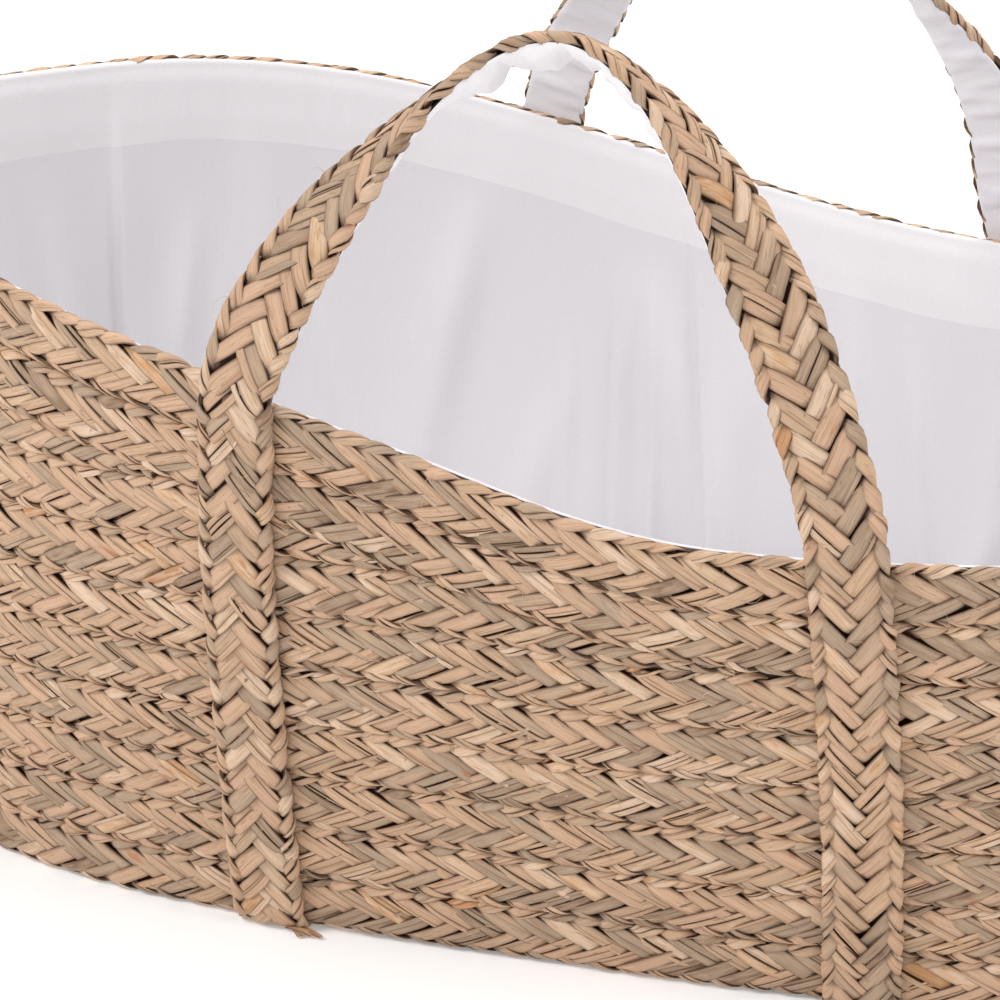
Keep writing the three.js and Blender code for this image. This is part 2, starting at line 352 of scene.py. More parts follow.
def strips_along(path, rows, widths, tone, lean, braid, rng):
    """Flat strips that follow paths of along, across and height, split across each strand as rows say."""
    strand, share, offset = rows
    count, steps = len(strand), path[0].shape[1]
    along, across, height = (values[strand] for values in path)
    step_along, step_across = np.gradient(along, axis=1), np.gradient(across, axis=1)
    size = np.hypot(step_along, step_across)
    side_along, side_across = -step_across / size, step_along / size
    half = widths[strand] / 2
    bow = rng.normal(0, BOW_SPREAD, (count, 1)) * np.sin(np.linspace(0, math.pi, steps))
    shift = offset[:, None] * half + bow
    along, across = along + side_along * shift, across + side_across * shift
    tilt = lean + rng.normal(0, TILT_SPREAD, (count, 1))
    tilt = tilt + rng.normal(0, TILT_SPREAD, (count, 1)) * np.linspace(-1, 1, steps)
    height = height + tilt * shift + rng.normal(0, HEIGHT_SPREAD, (count, 1))
    lift = (half * np.minimum(share * SPLIT_OVERLAP, 1)[:, None])[:, :, None] * SECTION_ACROSS
    strip_along = along[:, :, None] + side_along[:, :, None] * lift
    strip_across = across[:, :, None] + side_across[:, :, None] * lift
    strip_height = height[:, :, None] + tilt[:, :, None] * lift + strip_section(count, steps, rng)
    # Painted shade where a strip dips under its neighbours, carried as the fourth value.
    buried_shade = np.clip((BURIED_SHADE_FROM - strip_height) / BURIED_SHADE_DEPTH, 0, 1)
    strip_across, strip_height = rolled(strip_across, strip_height, braid.half)
    grain = np.cumsum(size, 1) + rng.uniform(0, GRAIN_LENGTH, (count, 1))
    shade = np.maximum(tone[strand] + rng.normal(0, TONE_SPREAD, count), DARKEST_TONE)
    values = (SECTION_ACROSS, grain[:, :, None], shade[:, None, None], buried_shade)
    points = np.stack([strip_along, strip_across, strip_height], -1)
    return points, np.stack(np.broadcast_arrays(*values), -1), tube_faces(*points.shape[:3])


def long_band(braid, side, start, pitch, tone, rng):
    """The long strands from near one edge to the middle: their paths, widths, tones and lean."""
    angle = braid.angle * (1 + rng.normal(0, LONG_SLANT_SPREAD, start.shape))
    jitter = rng.normal(0, LONG_PLACE_SPREAD * pitch, start.shape)
    inward = (braid.half - braid.band) * LONG_STEPS + braid.band
    along = start + jitter + inward / np.tan(angle)
    across = side * (braid.half - inward) + 0 * along
    spread = 1 + rng.normal(0, LONG_WIDTH_SPREAD, start.shape)
    widths = braid.strand_width(pitch) * spread * LONG_WIDTHS
    return (along, across, LONG_HEIGHTS + 0 * along), widths, tone, -side * STRAND_LEAN


def leaf_band(braid, side, start, pitch, tone, rng):
    """The strands of the other slant, where they come up along the same edge and roll round it."""
    spread = 1 + rng.normal(0, LEAF_SLANT_SPREAD, start.shape)
    angle = braid.angle * spread * (1 - braid.leaf_turn * LEAF_STEPS)
    rise = braid.band - LEAF_START
    step = (rise + braid.wrap) / np.sin(angle).mean(1, keepdims=True) / (len(LEAF_STEPS) - 1)
    inset = rise - np.cumsum(step * np.sin(angle), 1)
    jitter = rng.normal(0, LEAF_PLACE_SPREAD * pitch, start.shape)
    begin = start + jitter + rise / math.tan(braid.angle)
    along = begin + np.cumsum(step * np.cos(angle), 1)
    across = side * (braid.half - inset)
    spread = 1 + rng.normal(0, LEAF_WIDTH_SPREAD, start.shape)
    widths = LEAF_WIDTH * braid.strand_width(pitch) * spread * LEAF_WIDTHS
    return (along, across, LEAF_HEIGHTS + 0 * along), widths, np.roll(tone, 2), side * LEAF_LEAN


def braid_strips(braid, length, closed, rng):
    """All visible strips of a braid, as blocks of points, strand values and faces."""
    count = max(2, round(length / braid.pitch))
    pitch = length / count
    first = 0 if closed else -EXTRA_STRANDS
    count -= first
    bands = []
    for side, phase in ((1, 0.0), (-1, 0.5)):
        start = (np.arange(count) + first + phase)[:, None] * pitch
        tone = rng.choice(STRAW_TONES, count, p=STRAW_SHARES)
        bands.append(long_band(braid, side, start, pitch, tone, rng))
        bands.append(leaf_band(braid, side, start, pitch, tone, rng))
    return [strips_within(*band, braid, None if closed else length, rng) for band in bands]


def strips_within(path, widths, tone, lean, braid, length, rng):
    """The strips of one band. Those of an open braid are cut at its ends, or left out beyond them."""
    strands = np.arange(len(tone))
    if length is not None:
        strands = strands[(path[0].max(1) > 0) & (path[0].min(1) < length)]
        path = (np.clip(path[0], 0, length) + CUT_SLOPE * path[0], *path[1:])
    return strips_along(path, strand_table(braid.splits, strands, rng), widths, tone, lean, braid, rng)


def braid_core(braid, length, closed):
    margin = 0 if closed else CORE_MARGIN
    sections = max(8, round(length / CORE_STEP))
    stations = np.linspace(margin, length - margin, sections, endpoint=not closed)
    half, top = braid.core_half, CORE_TOP_SHARE * braid.core_half
    across = np.array([-half, half, half, top, -top, -half])
    height = np.array([CORE_LOW, CORE_LOW, CORE_SIDE, CORE_TOP, CORE_TOP, CORE_SIDE])
    points = np.stack(np.broadcast_arrays(stations[:, None], across, height), -1)
    # The core takes the darkest tone and the full painted shade of a buried strand.
    values = np.stack(np.broadcast_arrays(across / half, stations[:, None], CORE_SHADE_TONE, 1.0), -1)
    return points[None], values[None], tube_faces(1, sections, len(across), closed)


def loose_fibres(length, width, spacing, rng):
    count = max(1, round(length / spacing))
    share = np.linspace(0, 1, FIBRE_STEPS)
    start_along = rng.uniform(0, length, (count, 1))
    start_across = rng.uniform(-0.5, 0.5, (count, 1)) * width
    heading = rng.uniform(0, 2 * math.pi, (count, 1)) + rng.normal(0, FIBRE_CURL, (count, 1)) * share**2
    reach = rng.uniform(*FIBRE_LENGTHS, (count, 1)) * share
    rise = rng.uniform(*FIBRE_RISES, (count, 1)) * MM * np.sin(share * FIBRE_ARCH) - FIBRE_ROOT
    radius = FIBRE_RADIUS * (1 - FIBRE_TAPER * share)[:, None]
    corners = np.array([0, 2, 4]) * math.pi / 3
    ring, crest = radius * np.cos(corners), radius * np.sin(corners)
    along = (start_along + reach * np.cos(heading))[:, :, None] - np.sin(heading)[:, :, None] * ring
    across = (start_across + reach * np.sin(heading))[:, :, None] + np.cos(heading)[:, :, None] * ring
    height = rise[:, :, None] + crest
    tone = rng.choice(STRAW_TONES[:-1], count)[:, None, None]
    points = np.stack([along, across, height], -1)
    values = np.stack(np.broadcast_arrays(0 * along, 0 * along, tone, 0.0), -1)
    return points, values, tube_faces(*points.shape[:3])


def joined(parts):
    """Points, values and faces of several blocks, with the faces counted on from block to block."""
    points, values, faces, first = [], [], [], 0
    for block_points, block_values, block_faces in parts:
        points.append(block_points.reshape(-1, 3))
        values.append(block_values.reshape(-1, 4))
        faces.extend(face + first for face in block_faces)
        first += len(points[-1])
    return np.concatenate(points), np.concatenate(values), faces


def braid_blocks(braid, length, rng, closed, fibre_spacing=FIBRE_SPACING):
    blocks = braid_strips(braid, length, closed, rng)
    blocks.append(loose_fibres(length, 2 * braid.half, fibre_spacing, rng))
    blocks.append(braid_core(braid, length, closed))
    return blocks


def strand_object(name, points, faces, values, look):
    obj = mesh_object(name, points, faces, "strand", values)
    obj.data.set_sharp_from_angle(angle=STRAND_SHARPNESS)
    obj.data.materials.append(look)
    return obj


def braid_object(name, blocks, place, look):
    """Blocks in a braid's own frame, placed by place(along, across, height)."""
    points, values, faces = joined(blocks)
    return strand_object(name, place(*points.T), faces, values, look)


# ---- Materials ----


def linear(red, green, blue):
    """An sRGB colour of 0 to 255 as a linear RGBA colour."""
    shares = np.array([red, green, blue]) / 255
    low = shares / 12.92
    high = ((shares + 0.055) / 1.055) ** 2.4
    return (*np.where(shares <= 0.04045, low, high), 1.0)


class Shader:
    """A material's node tree, built one node at a time."""

    def __init__(self, name):
        self.material = bpy.data.materials.new(name)
        self.material.use_nodes = True
        self.tree = self.material.node_tree
        self.surface = self.tree.nodes["Principled BSDF"]

    def add(self, kind, inputs=(), **settings):
        node = self.tree.nodes.new(kind)
        for key, value in settings.items():
            setattr(node, key, value)
        for key, value in dict(inputs).items():
            self.feed(node.inputs[key], value)
        return node

    def feed(self, socket, value):
        if isinstance(value, bpy.types.NodeSocket):
            self.tree.links.new(value, socket)
        else:
            socket.default_value = value

    def math(self, operation, first, second):
        return self.add("ShaderNodeMath", {0: first, 1: second}, operation=operation).outputs[0]

    def mixed(self, factor, first, second, blend="MIX"):
        node = self.add("ShaderNodeMix", {0: factor}, data_type="RGBA", blend_type=blend)
        self.feed(node.inputs[6], first)
        self.feed(node.inputs[7], second)
        return node.outputs[2]

    def ramp(self, factor, stops):
        node = self.add("ShaderNodeValToRGB", {0: factor})
        ramp = node.color_ramp
        while len(ramp.elements) < len(stops):
            ramp.elements.new(1.0)
        for element, (place, colour) in zip(ramp.elements, stops):
            element.position = place
            element.color = colour
        return node.outputs["Color"]

    def noise(self, vector, scale=1.0, detail=2.0):
        inputs = {"Vector": vector, "Scale": scale, "Detail": detail}
        return self.add("ShaderNodeTexNoise", inputs).outputs["Fac"]

    def spread(self, value, low, high, new_low, new_high):
        inputs = {0: value, 1: low, 2: high, 3: new_low, 4: new_high}
        return self.add("ShaderNodeMapRange", inputs).outputs[0]

    def bump(self, height, strength, distance):
        inputs = {"Strength": strength, "Distance": distance, "Height": height}
        return self.add("ShaderNodeBump", inputs).outputs[0]

    def finish(self, **inputs):
        for key, value in inputs.items():
            self.feed(self.surface.inputs[key.replace("_", " ")], value)
        return self.material


STRAW_RAMP = (
    # The darkest stop is the core's colour, painted shade for the gaps between strips.
    (0.0, linear(104, 70, 48)),
    (0.15, linear(176, 154, 132)),
    (0.27, linear(189, 171, 151)),
    (0.42, linear(209, 181, 154)),
    (0.55, linear(218, 186, 161)),
    (0.68, linear(216, 188, 158)),
    (0.8, linear(234, 213, 192)),
    (0.9, linear(226, 196, 164)),
    (1.0, linear(206, 160, 116)),
)
FIBRE_TONES = ((0.3, linear(218, 202, 186)), (0.44, linear(248, 244, 239)), (0.7, linear(255, 255, 255)))
# Its grain: scale across a strand, scale along it, and detail.
FINE_GRAIN, BROAD_GRAIN = (7.0, 45.0, 3.0), (1.2, 95.0, 2.0)
CREASE_GRAIN, STAIN_GRAIN = (2.2, 20.0, 1.0), (0.9, 70.0, 1.0)
GRAIN_BY_TONE, STAIN_SHIFT = 61.0, 17.0  # move the grain from strand to strand, and the stains off it
TONE_SHIFT = 0.07
CREASE_LEVEL, CREASE_AWAY, CREASE_WIDTH = 0.48, 0.05, 0.01
STAIN = linear(196, 128, 78)
# Painted shade along the crease lines.
PAINTED_CREASE_SHADE = linear(134, 97, 70)
# Painted shade at the strips' edges, for the shadow in the gaps between them.
PAINTED_EDGE_SHADE = linear(74, 46, 28)
# Painted shade where strands dip under their neighbours.
PAINTED_DEPTH_SHADE = linear(62, 38, 25)


def straw_material(name, tint):
    """Dry seagrass: a tone for each strand, fibres, creases and stains, with painted shade in the
    creases, at the strips' edges and where strands dip under.
    """
    shader = Shader(name)
    strand = shader.add("ShaderNodeAttribute", attribute_name="strand")
    across, along, tone = shader.add("ShaderNodeSeparateXYZ", {0: strand.outputs["Vector"]}).outputs
    # The fourth value is the painted shade where a strand dips under.
    depth = strand.outputs["Alpha"]
    seed = shader.math("MULTIPLY", tone, GRAIN_BY_TONE)

    def fibres(across_scale, along_scale, detail, shift=0.0):
        place = {
            0: shader.math("MULTIPLY", across, across_scale),
            1: shader.math("MULTIPLY", along, along_scale),
            2: shader.math("ADD", seed, shift),
        }
        return shader.noise(shader.add("ShaderNodeCombineXYZ", place).outputs[0], 1.0, detail)

    fine, broad, crease = fibres(*FINE_GRAIN), fibres(*BROAD_GRAIN), fibres(*CREASE_GRAIN)
    shifted = shader.math("ADD", tone, shader.spread(broad, 0.3, 0.7, -TONE_SHIFT, TONE_SHIFT))
    colour = shader.ramp(shifted, STRAW_RAMP)
    stain = shader.spread(fibres(*STAIN_GRAIN, STAIN_SHIFT), 0.71, 0.78, 0.0, 0.6)
    colour = shader.mixed(stain, colour, STAIN)
    colour = shader.mixed(0.9, colour, shader.ramp(fine, FIBRE_TONES), "MULTIPLY")
    # Thin crease lines: painted shade in the colour, and a groove in the bump.
    fold = shader.math("ABSOLUTE", shader.math("SUBTRACT", crease, CREASE_LEVEL), 0.0)
    fold = shader.math("ABSOLUTE", shader.math("SUBTRACT", fold, CREASE_AWAY), 0.0)
    line = shader.spread(fold, 0.0, CREASE_WIDTH, 0.55, 0.0)
    colour = shader.mixed(line, colour, PAINTED_CREASE_SHADE)
    # Painted shade at each strip's edges, for the shadow in the gaps between strips.
    edge = shader.math("POWER", shader.math("ABSOLUTE", across, 0.0), 5.0)
    colour = shader.mixed(shader.math("MULTIPLY", edge, 0.95), colour, PAINTED_EDGE_SHADE)
    # Painted shade where strands dip under, and over the whole core.
    colour = shader.mixed(shader.math("MULTIPLY", depth, 0.95), colour, PAINTED_DEPTH_SHADE)
    colour = shader.mixed(1.0, colour, tint, "MULTIPLY")
    relief = shader.math("SUBTRACT", fine, shader.math("MULTIPLY", line, 0.8))
    bump = shader.bump(relief, 0.6, 0.4 * MM)
    rough = shader.spread(fine, 0.3, 0.7, 0.7, 0.48)
    return shader.finish(Base_Color=colour, Roughness=rough, Normal=bump, Specular_IOR_Level=0.35)


THREAD_SCALE = 430.0
SLUB_SCALE = 700.0
CREASE_SCALE = (34.0, 5.0, 5.0)


def cotton_material(name, colour, shade, attribute=None):
    """Plain-weave cotton: crossed threads, slubs and faint creases."""
    shader = Shader(name)
    if attribute:
        weave = shader.add("ShaderNodeAttribute", attribute_name=attribute).outputs["Vector"]
    else:
        weave = shader.add("ShaderNodeTexCoord").outputs["Object"]
    threads = []
    for axis in ("X", "Y"):
        inputs = {"Vector": weave, "Scale": THREAD_SCALE}
        threads.append(shader.add("ShaderNodeTexWave", inputs, bands_direction=axis).outputs["Fac"])
    slub = shader.noise(weave, SLUB_SCALE, 3.0)
    drawn = shader.add("ShaderNodeMapping", {"Vector": weave, "Scale": CREASE_SCALE}).outputs[0]
    crease = shader.math("MULTIPLY", shader.noise(drawn, 1.0, 3.0), 3.0)
    woven = shader.math("MULTIPLY", shader.math("MULTIPLY", *threads), 0.05)
    tint = shader.mixed(shader.spread(slub, 0.35, 0.65, 0.0, 1.0), colour, shade)
    bump = shader.bump(shader.math("ADD", woven, crease), 0.45, 1.5 * MM)
    sheen = {"Sheen_Weight": 0.2, "Sheen_Roughness": 0.5}
    return shader.finish(Base_Color=tint, Normal=bump, Roughness=0.9, Specular_IOR_Level=0.2, **sheen)


WALL_STRAW = straw_material("wall_seagrass", (0.95, 0.885, 0.835, 1))
HANDLE_STRAW = straw_material("handle_seagrass", (0.91, 0.845, 0.795, 1))
LINING_COTTON = cotton_material("lining_cotton", linear(223, 220, 222), linear(220, 217, 219), "weave")
# The hem's cotton is the lining's made brighter: painted light for the doubled band, which lets less
# light through and catches more. The loop's lining uses it too.
LIT_HEM_COTTON = cotton_material("hem_cotton", linear(235, 231, 233), linear(232, 228, 230), "weave")
MATTRESS_COTTON = cotton_material("mattress_cotton", linear(218, 215, 218), linear(211, 208, 211))

# ---- Wall and floor of braid ----

UPRIGHT = 1 / math.hypot(1, (FLARE_ALONG + FLARE_ACROSS) / 2)  # height gained by distance up the wall
BASE_ROUNDING = 0.005
COURSE_SWAY = 0.5 * MM
PILLOW = 0.5 * MM  # how much lower a braid's edges are than its middle
LOWEST_COURSE_POINT = 0.4 * MM

# A head course is tucked under the two rim courses: it starts where enough of it shows, and sinks there.
WEDGE_START = 2 * MM
WEDGE_MARGIN = 4 * MM
TUCK_SLOPE, TUCK_DEPTH, TUCK_LOWEST = 0.5, 3.5 * MM, -6.4 * MM
TUCK_SQUEEZE = 0.75

FLOOR_FACE = 0.8 * MM
LOWEST_FLOOR_POINT = 0.1 * MM
FLOOR_MIDDLE_SQUEEZE = 0.95


def course_place(middle, rng):
    """Places a course's braid on the wall at middle(turn), and gives the course's length."""
    turns, lengths = round_wall(middle)
    total = lengths[-1]
    sway, swell = waves(rng, total, COURSE_SWAY), waves(rng, total, COURSE_SWAY)

    def place(along, across, height):
        turn = np.interp(along % total, lengths, turns)
        z = middle(turn) + (across + sway(along)) * UPRIGHT
        z = np.maximum(z, LOWEST_COURSE_POINT)
        curl = np.clip(BASE_ROUNDING - z, 0, None) ** 2 / (2 * BASE_ROUNDING)
        pillow = PILLOW * (across / WALL_BRAID.half) ** 2
        outward = (height + swell(along) - curl - pillow)[:, None]
        return wall_point(turn, z) + wall_normal(turn, z) * outward

    return place, total


def level(z):
    return lambda turn: z + 0 * turn


def below_rim(distance):
    return lambda turn: rim_height(turn) - distance


def basket_braid(name, blocks, place):
    obj = braid_object(f"{name}_braid", blocks, place, WALL_STRAW)
    stand_in(obj, "basket", name)


def wall_course(name, middle, index, braid=WALL_BRAID):
    rng = np.random.default_rng(SEED + index)
    place, total = course_place(middle, rng)
    basket_braid(name, braid_blocks(braid, total, rng, True), place)


def head_course(index):
    """A wedge course of the head end. Its braid ends where it slips under the two rim courses."""
    rng = np.random.default_rng(SEED + 40 + index)
    low = (LEVEL_COURSES + index) * COURSE_PITCH
    middle = level(low + COURSE_PITCH / 2)
    roof = below_rim(RIM_COURSES * COURSE_PITCH)
    turns, lengths = round_wall(middle)
    inside = lengths[roof(turns) > low + WEDGE_START]
    first, last = inside[0] + WEDGE_MARGIN, inside[-1] - WEDGE_MARGIN
    place, _ = course_place(middle, rng)

    def place_tucked(along, across, height):
        distance = np.clip(along, 0, last - first) + first
        turn = np.interp(distance, lengths, turns)
        over = np.clip(middle(turn) + across * UPRIGHT - roof(turn), 0, None)
        sunk = np.maximum(height - np.minimum(over * TUCK_SLOPE, TUCK_DEPTH), TUCK_LOWEST)
        return place(distance, across - TUCK_SQUEEZE * over / UPRIGHT, sunk)

    blocks = braid_blocks(WALL_BRAID, last - first, rng, False)
    basket_braid(f"head_course_{index + 1}", blocks, place_tucked)


def floor_height(height):
    """The underside's height for a height above its braid's face, which is turned down."""
    return np.maximum(FLOOR_FACE - height, LOWEST_FLOOR_POINT)


def floor_ring(index):
    rng = np.random.default_rng(SEED + 60 + index)
    middle_inset = BRAID_THICKNESS + RING_GAP + (index + 0.5) * RING_PITCH
    turns, lengths = round_wall(level(0.0), middle_inset)
    total = lengths[-1]

    def place(along, across, height):
        turn = np.interp(along % total, lengths, turns)
        points = wall_point(turn, 0.0 * turn, middle_inset - across)
        points[:, 2] = floor_height(height)
        return points

    blocks = braid_blocks(WALL_BRAID, total, rng, True, HIDDEN_FIBRE_SPACING)
    basket_braid(f"floor_ring_{index + 1}", blocks, place)


def floor_middle():
    rng = np.random.default_rng(SEED + 70)
    half = BASE_HALF_LENGTH - BRAID_THICKNESS - RING_GAP - BASE_RINGS * RING_PITCH

    def place(along, across, height):
        x = np.clip(along - half, -half, half)
        return np.stack([x, across * FLOOR_MIDDLE_SQUEEZE, floor_height(height)], -1)

    blocks = braid_blocks(WALL_BRAID, 2 * half, rng, False, HIDDEN_FIBRE_SPACING)
    basket_braid("floor_middle", blocks, place)


for course in range(LEVEL_COURSES):
    wall_course(f"wall_course_{course + 1}", level((course + 0.5) * COURSE_PITCH), course)
for course in range(HEAD_COURSES):
    head_course(course)
wall_course("upper_course", below_rim(1.5 * COURSE_PITCH), 20)
wall_course("rim_course", below_rim(0.5 * COURSE_PITCH), 21, RIM_BRAID)
for ring in range(BASE_RINGS):
    floor_ring(ring)
floor_middle()

# ---- Handles ----


def leg_frame(side, x, z):
    """Middle and face normal of a strap on the wall. side is -1 at the front and 1 at the back."""
    half_length = BASE_HALF_LENGTH + FLARE_ALONG * z
    half_width = BASE_HALF_WIDTH + FLARE_ACROSS * z
    power = squareness(z)
    share = abs(x) / half_length
    y = half_width * (1 - share**power) ** (1 / power)
    fall = (half_width / half_length) * share ** (power - 1) * (y / half_width) ** (1 - power)
    across = unit(np.array([1, -side * fall * math.copysign(1, x), 0]))
    up = unit(np.array([0, side * FLARE_ACROSS, 1]))
    normal = unit(np.cross(across, up) * -side)
    return np.array([x, side * y, z]) + normal * (LEG_GAP + STRAP_THICKNESS / 2), normal


def bezier(corners, share):
    share = share[:, None]
    weights = ((1 - share) ** 3, 3 * (1 - share) ** 2 * share, 3 * (1 - share) * share**2, share**3)
    return sum(weight * corner for weight, corner in zip(weights, corners))


# How a loop hangs: a dip at its crown, and the back one's bow. Places and widths are shares of it.
CROWN_DIP, DIP_PLACE, DIP_WIDTH = 1.9 * MM, 0.5, 0.14
BACK_BOW, BOW_PLACE, BOW_WIDTH, BOW_EASE = 12 * MM, 0.8, 0.13, 0.12
FOOT_HEIGHT = 1.2 * MM
FOOT_CURL_LENGTH = 9 * MM
LOOP_STEPS = 200
LEG_STEPS = 60
TWIST_START = 0.1
PATH_STEP = 0.002
PATH_EASINGS = 6
HANDLE_SWAY = 0.4 * MM
LOWEST_HANDLE_POINT = 0.3 * MM

# The strand ends below a strap. Half widths and rises are in millimetres.
CUT_ENDS = 7
CUT_END_STEPS = 7
CUT_END_PLACES = (0.35, 0.98)
CUT_END_HEADING, CUT_END_HEADING_SPREAD = 0.9, 0.3
CUT_END_LENGTHS = (0.006, 0.015)
CUT_END_HALF_WIDTHS = (0.8, 2.4)
CUT_END_RISES = (0.2, 1.2)
CUT_END_TAPER, CUT_END_ARCH = 0.5, 3
CUT_END_THICKNESS = 0.8 * MM
CUT_END_DEPTH, CUT_END_LIFT = -3.5 * MM, 1.5 * MM


def leg_top(x):
    return rim_height_at_x(x) + LEG_ABOVE_RIM


def loop_line(side):
    """The loop's middle line, in even steps."""
    up = np.array([0, -side * math.sin(LOOP_LEAN), math.cos(LOOP_LEAN)])
    along = np.array([1.0, 0, 0])
    ends = [leg_frame(side, x, leg_top(x))[0] for x in (HEAD_STRAP_X, FOOT_STRAP_X)]
    crown = (ends[0] + ends[1]) / 2 + up * LOOP_RISE
    lift = up * LOOP_ROOT_REACH * math.cos(LOOP_TAKEOFF)
    lean = along * LOOP_ROOT_REACH * math.sin(LOOP_TAKEOFF)
    share = np.linspace(0, 1, LOOP_STEPS)
    reach = along * LOOP_CROWN_REACH
    first = bezier((ends[0], ends[0] + lift + lean, crown - reach, crown), share)
    second = bezier((crown, crown + reach, ends[1] + lift - lean, ends[1]), share)
    return np.concatenate([first, second[1:]])


def settled(line, share, side):
    """A loop's line as it hangs: the crown is a little low, and the back loop's foot side bows out."""
    bow = BACK_BOW * np.exp(-(((share - BOW_PLACE) / BOW_WIDTH) ** 2))
    bow = bow * smoothstep(1 - share, 0, BOW_EASE) * (side > 0)
    dip = CROWN_DIP * np.exp(-(((share - DIP_PLACE) / DIP_WIDTH) ** 2))
    return line + bow[:, None] * np.array([1, 0, 0]) - dip[:, None] * np.array([0, 0, 1])


def leg_points(side, x, foot_x):
    """Points and face normals of a strap, from its foot up."""
    share = np.linspace(0, 1, LEG_STEPS)
    heights = FOOT_HEIGHT + (leg_top(x) - FOOT_HEIGHT) * share
    frames = [leg_frame(side, *at) for at in zip(foot_x + (x - foot_x) * share**STRAP_BEND, heights)]
    return tuple(np.array(rows) for rows in zip(*frames))


def handle_path(side):
    """Points, face normals and running length of a handle, from the head strap's foot over the crown."""
    line = loop_line(side)
    lengths = running_length(line)
    share = lengths / lengths[-1]
    line = settled(line, share, side)
    tangent = unit(np.gradient(line, axis=0))
    outward = np.array([0, side * math.cos(LOOP_LEAN), math.sin(LOOP_LEAN)])
    outward = unit(outward - tangent * (tangent @ outward)[:, None])
    skyward = side * np.cross(tangent, outward)
    twist = CROWN_TWIST * smoothstep(1 - np.abs(2 * share**TWIST_SKEW - 1), TWIST_START, 1)
    normal = np.cos(twist)[:, None] * outward + np.sin(twist)[:, None] * skyward
    free = (lengths > FLEX_LENGTH) & (lengths < lengths[-1] - FLEX_LENGTH)
    head, head_normals = leg_points(side, HEAD_STRAP_X, HEAD_STRAP_FOOT_X)
    foot, foot_normals = leg_points(side, FOOT_STRAP_X, FOOT_STRAP_FOOT_X)
    points = np.concatenate([head, line[free], foot[::-1]])
    normals = np.concatenate([head_normals, normal[free], foot_normals[::-1]])
    return points, normals, running_length(points)


def resampled(points, normals, lengths):
    """The path in even steps, with its corners eased."""
    stations = np.linspace(0, lengths[-1], round(lengths[-1] / PATH_STEP))
    line = np.stack([np.interp(stations, lengths, points[:, i]) for i in range(3)], -1)
    face = np.stack([np.interp(stations, lengths, normals[:, i]) for i in range(3)], -1)
    for _ in range(PATH_EASINGS):
        line[1:-1] = (line[:-2] + 2 * line[1:-1] + line[2:]) / 4
        face[1:-1] = (face[:-2] + 2 * face[1:-1] + face[2:]) / 4
    return line, unit(face), running_length(line)


class HandlePath:
    """A handle's path with its frames, read at any distance along it."""

    def __init__(self, side):
        self.line, face, self.lengths = resampled(*handle_path(side))
        self.total = self.lengths[-1]
        self.loop_start = self.lengths[np.where(self.line[:, 2] > leg_top(HEAD_STRAP_X))[0][0]]
        self.loop_end = self.lengths[np.where(self.line[:, 2] > leg_top(FOOT_STRAP_X))[0][-1]]
        tangent = unit(np.gradient(self.line, axis=0))
        self.face = unit(face - tangent * np.sum(face * tangent, -1, keepdims=True))
        self.across = np.cross(self.face, tangent)

    def read(self, table, distance):
        return np.stack([np.interp(distance, self.lengths, table[:, i]) for i in range(3)], -1)

    def place(self, distance, across, height):
        """height is measured out from the braid's face."""
        inside = np.clip(distance, 0, self.total)
        middle = self.read(self.line, inside)
        normal = unit(self.read(self.face, inside))
        sideways = unit(self.read(self.across, inside))
        return middle + sideways * across[:, None] + normal * (height + STRAP_THICKNESS / 2)[:, None]


def cut_ends(path, end, rng):
    """The strand ends at the foot of a strap: short strips that stick out towards the basket's foot."""
    size = (CUT_ENDS, 1)
    share = np.linspace(0, 1, CUT_END_STEPS)
    foot, toward = (0.0, -1) if end == "head" else (path.total, 1)
    outward = math.copysign(1, path.read(path.face, np.array([foot]))[0, 1])
    offsets = toward * rng.uniform(*CUT_END_PLACES, CUT_ENDS) * HANDLE_BRAID.half
    root = path.place(np.full(CUT_ENDS, foot), offsets, np.full(CUT_ENDS, CUT_END_DEPTH))
    root = root + [0, 0, CUT_END_LIFT]
    heading = rng.normal(CUT_END_HEADING, CUT_END_HEADING_SPREAD, size)
    reach = rng.uniform(*CUT_END_LENGTHS, size) * share
    half = rng.uniform(*CUT_END_HALF_WIDTHS, size) * MM * (1 - CUT_END_TAPER * share**2)
    along = root[:, :1] + reach * np.sin(heading)
    away = root[:, 1:2] + outward * reach * np.cos(heading)
    height = root[:, 2:] + rng.uniform(*CUT_END_RISES, size) * MM * np.sin(share * CUT_END_ARCH)
    lift = half[:, :, None] * SECTION_ACROSS
    x = along[:, :, None] + np.cos(heading)[:, :, None] * lift
    y = away[:, :, None] - outward * np.sin(heading)[:, :, None] * lift
    z = height[:, :, None] + CUT_END_THICKNESS * SECTION_HEIGHT
    points = np.stack(np.broadcast_arrays(x, y, z), -1)
    tone = rng.choice(STRAW_TONES[2:], CUT_ENDS)[:, None, None]
    values = np.stack(np.broadcast_arrays(SECTION_ACROSS, reach[:, :, None], tone, 0 * z), -1)
    faces = tube_faces(*points.shape[:3])
    return points, values, faces if outward < 0 else [block[:, ::-1] for block in faces]


